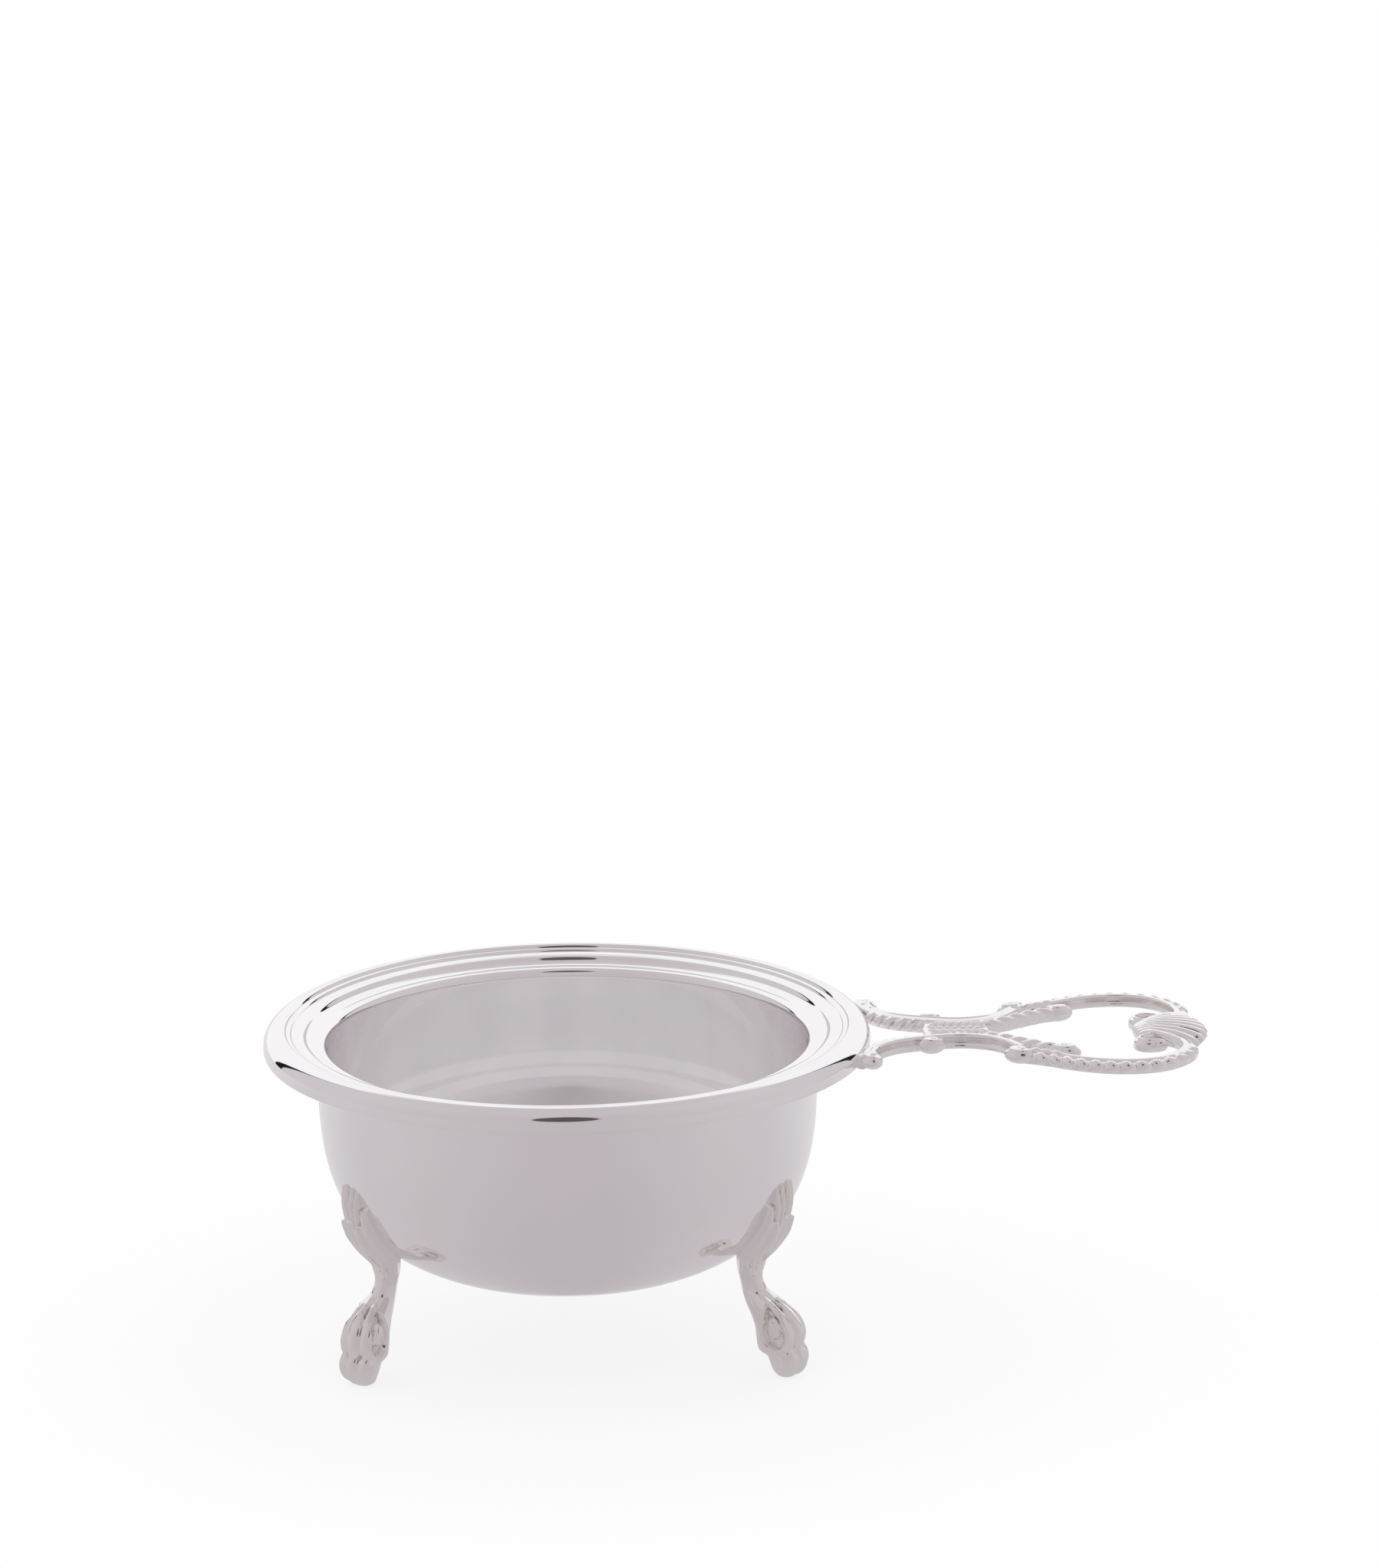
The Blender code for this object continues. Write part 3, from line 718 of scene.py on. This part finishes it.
def bowl_point(z, side, lift):
    """A point lifted off the drip bowl's outside, side millimetres from the leg's plane."""
    r = float(bowl_radius(z))
    slope = (float(bowl_radius(z + 0.2)) - float(bowl_radius(z - 0.2))) / 0.4
    outward = Vector((1, 0, -slope)).normalized()
    angle = side / r
    reach = r + lift * outward.x
    return (reach * math.cos(angle), reach * math.sin(angle), z + lift * outward.z)


def leaf_lobe(casting, spine, widths, heights):
    """A raised lobe on the bowl: spine points are (height, side)."""
    spine = curve_through(spine, 10)
    t = np.linspace(0, 1, len(spine))
    width = np.interp(t, np.linspace(0, 1, len(widths)), widths)
    height = np.interp(t, np.linspace(0, 1, len(heights)), heights)
    rings = []
    for k, (z, side) in enumerate(spine):
        along = spine[min(k + 1, len(spine) - 1)] - spine[max(k - 1, 0)]
        along /= np.linalg.norm(along)
        ring = []
        for a in np.arange(20) * TURN / 20:
            across = width[k] * math.cos(a)
            lift = max(height[k] * math.sin(a), -0.25) - 0.05
            ring.append(bowl_point(z - along[1] * across, side + along[0] * across, lift))
        rings.append(ring)
    casting.loft(rings)


def twist(points, degrees):
    """Turn the lower leg about the ankle's upright line, fully by the paw's height."""
    x, y, z = points.T
    share = np.clip((ANKLE_Z + 1.5 - z) / (ANKLE_Z + 1.5 - PAW_Z), 0, 1)
    angle = math.radians(degrees) * share * share * (3 - 2 * share)
    dx = x - ANKLE_RADIUS
    return np.stack([
        ANKLE_RADIUS + dx * np.cos(angle) - y * np.sin(angle),
        dx * np.sin(angle) + y * np.cos(angle),
        z,
    ], -1)


def paw_recess(co, normal):
    """Sink the teardrop panel on each side of the paw, with a raised drop inside it."""
    lean = math.radians(9)
    x, z = co[:, 0] - 31.3, co[:, 2] - 7.2
    along = z * math.cos(lean) - x * math.sin(lean)
    across = (x * math.cos(lean) + z * math.sin(lean)) / (1.75 - 0.24 * along)
    oval = np.clip(1 - ((along / 3.3) ** 2 + across ** 2), 0, 1)
    drop = np.clip(1 - (((along + 0.3) / 1.7) ** 2 + (across / 0.52) ** 2), 0, 1)
    sink = 0.8 * np.clip(oval * 5, 0, 1) - 0.75 * np.clip(drop * 2, 0, 1)
    facing = np.clip((np.abs(normal[:, 1]) - 0.2) * 3, 0, 1)
    return co - normal * (sink * facing)[:, None]


def finger(casting, stations, side):
    """One knuckle or toe: a cord through (height, distance, side share, radius)."""
    back = 0.55 * (side / FINGER_SIDES[-1]) ** 2
    line = curve_through([(d - back, side * share, z, r) for z, d, share, r in stations], 5)
    casting.cord(line[:, :3], line[:, 3])


def make_foot(name, material):
    casting = Casting()
    stations = curve_through(LEG_STATIONS, 4)
    rings = []
    for z, back, front, half in stations:
        centre, reach = (back + front) / 2, (front - back) / 2
        ring = []
        for a in np.arange(32) * TURN / 32:
            c, s = math.cos(a), math.sin(a)
            ring.append((
                centre + reach * math.copysign(abs(c) ** 0.85, c),
                half * math.copysign(abs(s) ** 0.85, s) * (1 if c > 0 else 0.92), z,
            ))
        rings.append(ring)
    casting.loft(rings)
    for side in FINGER_SIDES:
        finger(casting, KNUCKLE, side)
        finger(casting, TOE, side)
    leaf_lobe(casting, *LEAF_SPINE)
    for side in (-1, 1):
        for spine, widths, heights in LEAF_LOBES:
            leaf_lobe(casting, [(z, y * side) for z, y in spine], widths, heights)
        arch = curve_through([(r, y * side, z) for z, r, y in ARCH], 6)
        casting.cord(arch, (0.3, 0.3, 0.3))
    shape = casting.fuse(name + "_casting", 0.13, 6)
    mesh = shape.data
    co = paw_recess(coordinates(mesh), normals(mesh))
    reach = np.hypot(co[:, 0], co[:, 1])
    skin = bowl_radius(co[:, 2]) - 0.2
    inside = (reach < skin) & (co[:, 2] > BOWL_BASE_Z + 1)
    co[inside, :2] *= (skin[inside] / reach[inside])[:, None]
    co[:, 2] = np.maximum(co[:, 2], 0.0)
    co = twist(co, FOOT_TWISTS[name])
    mesh.vertices.foreach_set("co", co.ravel())
    mesh.transform(Matrix.Rotation(math.radians(FOOT_AZIMUTHS[name]), 4, "Z"))
    mesh.update()
    return settle(shape, "stand", name, material)


# ---------------------------------------------------------------- materials

class Nodes:
    """Short way to write a node tree."""

    def __init__(self, tree):
        self.tree = tree

    def add(self, kind, inputs=None, **settings):
        node = self.tree.nodes.new(kind)
        for key, value in settings.items():
            setattr(node, key, value)
        for key, value in (inputs or {}).items():
            if isinstance(value, bpy.types.NodeSocket):
                self.tree.links.new(value, node.inputs[key])
            else:
                node.inputs[key].default_value = value
        return node

    def math(self, operation, *values, clamp=False):
        inputs = dict(enumerate(values))
        return self.add("ShaderNodeMath", inputs, operation=operation, use_clamp=clamp).outputs[0]

    def ramp(self, value, low, high):
        """0 below low, 1 above high, smooth between."""
        return self.add("ShaderNodeMapRange", {
            "Value": value, "From Min": low, "From Max": high, "To Min": 0.0, "To Max": 1.0,
        }, interpolation_type="SMOOTHSTEP").outputs[0]

    def mix(self, factor, first, second):
        node = self.tree.nodes.new("ShaderNodeMix")
        node.data_type = "RGBA"
        for key, value in ((0, factor), (6, first), (7, second)):
            if isinstance(value, bpy.types.NodeSocket):
                self.tree.links.new(value, node.inputs[key])
            else:
                node.inputs[key].default_value = value if key == 0 else (*value, 1.0)
        return node.outputs[2]


SATIN_HIGH = 27.0                # the strainer is satin rather than polished from here down
SATIN_LOW = 24.5                 # and fully so from here
STRAINER_SATIN = 0.42            # roughness that the satin adds
PATINA = (0.42, 0.33, 0.27)


def silver(name, colour, roughness, waviness, patina, satin=0.0):
    """Polished silver plate: swirls, haze, warm patina in the hollows, and a satin lower part."""
    material = bpy.data.materials.new(name)
    material.use_nodes = True
    tree = material.node_tree
    tree.nodes.clear()
    n = Nodes(tree)
    place = n.add("ShaderNodeTexCoord").outputs["Object"]
    haze = n.add("ShaderNodeTexNoise", {"Vector": place, "Scale": 70.0, "Detail": 4.0}).outputs[0]
    stretched = n.add("ShaderNodeMapping", {"Vector": place, "Scale": (900.0, 900.0, 9000.0)}).outputs[0]
    swirl = n.add("ShaderNodeTexNoise", {"Vector": stretched, "Scale": 1.0, "Detail": 3.0}).outputs[0]
    wave = n.add("ShaderNodeTexNoise", {"Vector": place, "Scale": 55.0, "Detail": 1.0}).outputs[0]
    cavity = n.add("ShaderNodeAttribute", attribute_name="cavity").outputs["Fac"]
    blotch = n.add("ShaderNodeTexNoise", {"Vector": place, "Scale": 260.0, "Detail": 3.0}).outputs[0]
    dirt = n.math("MULTIPLY", n.ramp(cavity, 0.25, 0.95), n.ramp(blotch, 0.3, 0.6), clamp=True)
    dirt = n.math("MULTIPLY", dirt, patina)
    bright = n.mix(n.ramp(haze, 0.35, 0.7), colour, tuple(c * 0.975 for c in colour))
    tint = n.mix(dirt, bright, PATINA)
    rough = n.math("ADD", roughness, n.math("MULTIPLY", n.ramp(haze, 0.4, 0.75), 0.035))
    rough = n.math("ADD", rough, n.math("MULTIPLY", n.ramp(swirl, 0.55, 0.8), 0.03))
    rough = n.math("ADD", rough, n.math("MULTIPLY", dirt, 0.3))
    if satin:
        height = n.add("ShaderNodeSeparateXYZ", {0: place}).outputs[2]
        worn = n.ramp(height, SATIN_HIGH * MM, SATIN_LOW * MM)
        rough = n.math("ADD", rough, n.math("MULTIPLY", worn, satin))
    ripple = n.add("ShaderNodeBump", {
        "Strength": 1.0, "Distance": waviness * MM, "Height": wave,
    }).outputs[0]
    polish = n.add("ShaderNodeBump", {
        "Strength": 0.35, "Distance": 0.0008 * MM, "Height": swirl, "Normal": ripple,
    }).outputs[0]
    shader = n.add("ShaderNodeBsdfPrincipled", {
        "Base Color": tint, "Metallic": 1.0, "Roughness": rough, "Normal": polish,
    })
    n.add("ShaderNodeOutputMaterial", {"Surface": shader.outputs[0]})
    return material


# ---------------------------------------------------------------- stage

ROOM_TONE = (0.552, 0.514, 0.534)        # the unlit studio, as polished silver shows it
SIDE_TONE = (0.629, 0.597, 0.615)
INNER_TONE = (0.665, 0.640, 0.652)       # the same room after more than one reflection
BACK_TONE = (0.80, 0.78, 0.79)
PANEL_TONE = (0.97, 0.96, 0.97)
DARK_TONE = (0.012, 0.010, 0.013)
OPENING_TONE = (0.105, 0.090, 0.095)
PANEL_HALF = math.radians(43)            # half-width of the white panel behind the object
PANEL_TOP = math.radians(50)
FLOOR_RADIUS = 1.5
SHADOW_SHARE = 0.22                      # how strongly the floor shows the soft shadow
UNDER_SHADE = 0.035                      # how much darker the mirrored floor is under the bowl


def make_floor():
    angle = np.arange(96) * TURN / 96
    ring = np.stack([np.cos(angle), np.sin(angle), np.zeros(96)], -1) * FLOOR_RADIUS / MM
    ring[:, 2] = -0.02
    floor = add_object("floor", ring, [tuple(range(96))])
    material = bpy.data.materials.new("pale_floor")
    material.use_nodes = True
    tree = material.node_tree
    tree.nodes.clear()
    n = Nodes(tree)
    mirrored = n.add("ShaderNodeLightPath").outputs["Is Glossy Ray"]
    place = n.add("ShaderNodeTexCoord").outputs["Object"]
    x, y, _ = n.add("ShaderNodeSeparateXYZ", {0: place}).outputs
    across = n.math("SUBTRACT", x, AXIS_X)
    towards = n.math("MULTIPLY", y, -1.0)
    spread = n.math("ABSOLUTE", n.math("ARCTAN2", across, towards))
    # Painted reflection: to reflection rays the floor glows in these room tones, with painted shade that
    # is darker in front and under the bowl and lighter to the sides and back.
    tone = n.mix(n.ramp(spread, 0.15, 1.5), ROOM_TONE, SIDE_TONE)
    tone = n.mix(n.ramp(spread, 1.5, 2.9), tone, BACK_TONE)
    axis = (AXIS_X, 0.0, 0.0)
    reach = n.add("ShaderNodeVectorMath", {0: place, 1: axis}, operation="DISTANCE").outputs["Value"]
    shade = n.math("MULTIPLY", n.ramp(reach, 0.16, 0.02), UNDER_SHADE)
    tone = n.mix(shade, tone, (0.0, 0.0, 0.0))
    paper = n.add("ShaderNodeBsdfDiffuse", {"Color": (1.0, 1.0, 1.0, 1.0)}).outputs[0]
    white = n.add("ShaderNodeEmission", {"Color": (1.0, 1.0, 1.0, 1.0), "Strength": 1.0}).outputs[0]
    lit = n.add("ShaderNodeMixShader", {0: SHADOW_SHARE, 1: white, 2: paper}).outputs[0]
    glow = n.add("ShaderNodeEmission", {"Color": tone, "Strength": 1.0}).outputs[0]
    both = n.add("ShaderNodeMixShader", {0: mirrored, 1: lit, 2: glow}).outputs[0]
    n.add("ShaderNodeOutputMaterial", {"Surface": both})
    floor.data.materials.append(material)


def make_world():
    """Grey room with a white panel behind the object, its dark edges, and one dark opening."""
    world = bpy.data.worlds.new("studio")
    bpy.context.scene.world = world
    world.use_nodes = True
    tree = world.node_tree
    tree.nodes.clear()
    n = Nodes(tree)
    direction = n.add("ShaderNodeTexCoord").outputs["Generated"]
    x, y, z = n.add("ShaderNodeSeparateXYZ", {0: direction}).outputs
    height = n.math("ARCSINE", z)
    from_back = n.math("ABSOLUTE", n.math("ARCTAN2", x, y))
    from_front = n.math("ARCTAN2", x, n.math("MULTIPLY", y, -1.0))
    room = n.mix(n.ramp(from_back, 2.9, 1.3), ROOM_TONE, SIDE_TONE)
    room = n.mix(n.ramp(height, 0.9, 1.3), room, tuple(c * 1.06 for c in ROOM_TONE))
    across = n.ramp(from_back, PANEL_HALF + 0.03, PANEL_HALF - 0.03)
    upward = n.ramp(height, PANEL_TOP + 0.12, PANEL_TOP - 0.08)
    panel = n.math("MULTIPLY", across, upward)
    seen = n.mix(panel, room, PANEL_TONE)
    # dark gap at the panel's upright edges, wide at the table and gone at the top
    gap = n.math("MULTIPLY", n.ramp(height, PANEL_TOP, -0.05), 0.06)
    off_edge = n.math("ABSOLUTE", n.math("SUBTRACT", from_back, PANEL_HALF + 0.03))
    edge = n.ramp(n.math("SUBTRACT", off_edge, gap), 0.012, -0.008)
    across = n.math("POWER", n.math("DIVIDE", from_front, 0.26), 2.0)
    upward = n.math("POWER", n.math("DIVIDE", n.math("SUBTRACT", height, 0.80), 0.30), 2.0)
    opening = n.ramp(n.math("ADD", across, upward), 1.15, 0.85)
    seen = n.mix(edge, seen, DARK_TONE)
    seen = n.mix(opening, seen, OPENING_TONE)
    seen = n.mix(n.ramp(height, -0.04, -0.06), seen, BACK_TONE)
    path = n.add("ShaderNodeLightPath")
    seen = n.mix(n.ramp(path.outputs["Glossy Depth"], 1.4, 1.6), seen, INNER_TONE)
    plain = n.math("SUBTRACT", 1.0, path.outputs["Is Glossy Ray"])
    colour = n.mix(plain, seen, (1.0, 1.0, 1.0))
    background = n.add("ShaderNodeBackground", {"Color": colour, "Strength": 1.0})
    n.add("ShaderNodeOutputWorld", {"Surface": background.outputs[0]})


CAMERA_DISTANCE = 0.800
CAMERA_PITCH = 14.3              # degrees below the horizontal
CAMERA_ROLL = 0.6
CAMERA_SHIFT = (0.0165, 0.0762)  # optical axis right of and above the origin, m
CAMERA_LENS = 140.7


def make_camera():
    data = bpy.data.cameras.new("camera")
    data.lens = CAMERA_LENS
    data.sensor_width = 36.0
    data.clip_start = 0.01
    data.clip_end = 20.0
    camera = bpy.data.objects.new("camera", data)
    pitch = math.radians(CAMERA_PITCH)
    camera.location = (
        AXIS_X + CAMERA_SHIFT[0],
        -CAMERA_DISTANCE * math.cos(pitch),
        CAMERA_DISTANCE * math.sin(pitch) + CAMERA_SHIFT[1],
    )
    look = Matrix.Rotation(math.pi / 2 - pitch, 4, "X") @ Matrix.Rotation(
        -math.radians(CAMERA_ROLL), 4, "Z")
    camera.rotation_euler = look.to_euler()
    bpy.context.scene.collection.objects.link(camera)
    bpy.context.scene.camera = camera


MIRROR_BOUNCES = 24              # polished silver facing polished silver


def main():
    bowl = silver("bowl_silver_plate", (0.93, 0.915, 0.925), 0.05, 0.006, 0.0)
    strainer = silver("strainer_silver_plate", (0.945, 0.935, 0.94), 0.035, 0.004, 0.0, STRAINER_SATIN)
    cast = silver("handle_silver_plate", (0.93, 0.915, 0.91), 0.07, 0.0, 0.55)
    foot = silver("foot_silver_plate", (0.89, 0.862, 0.85), 0.075, 0.0, 0.6)
    make_drip_bowl(bowl)
    make_strainer_bowl(strainer)
    make_handle(cast)
    for name in FOOT_AZIMUTHS:
        make_foot(name, foot)
    make_floor()
    make_world()
    make_camera()
    scene = bpy.context.scene
    scene.view_settings.view_transform = "Standard"
    scene.cycles.glossy_bounces = MIRROR_BOUNCES
    scene.cycles.max_bounces = MIRROR_BOUNCES


main()
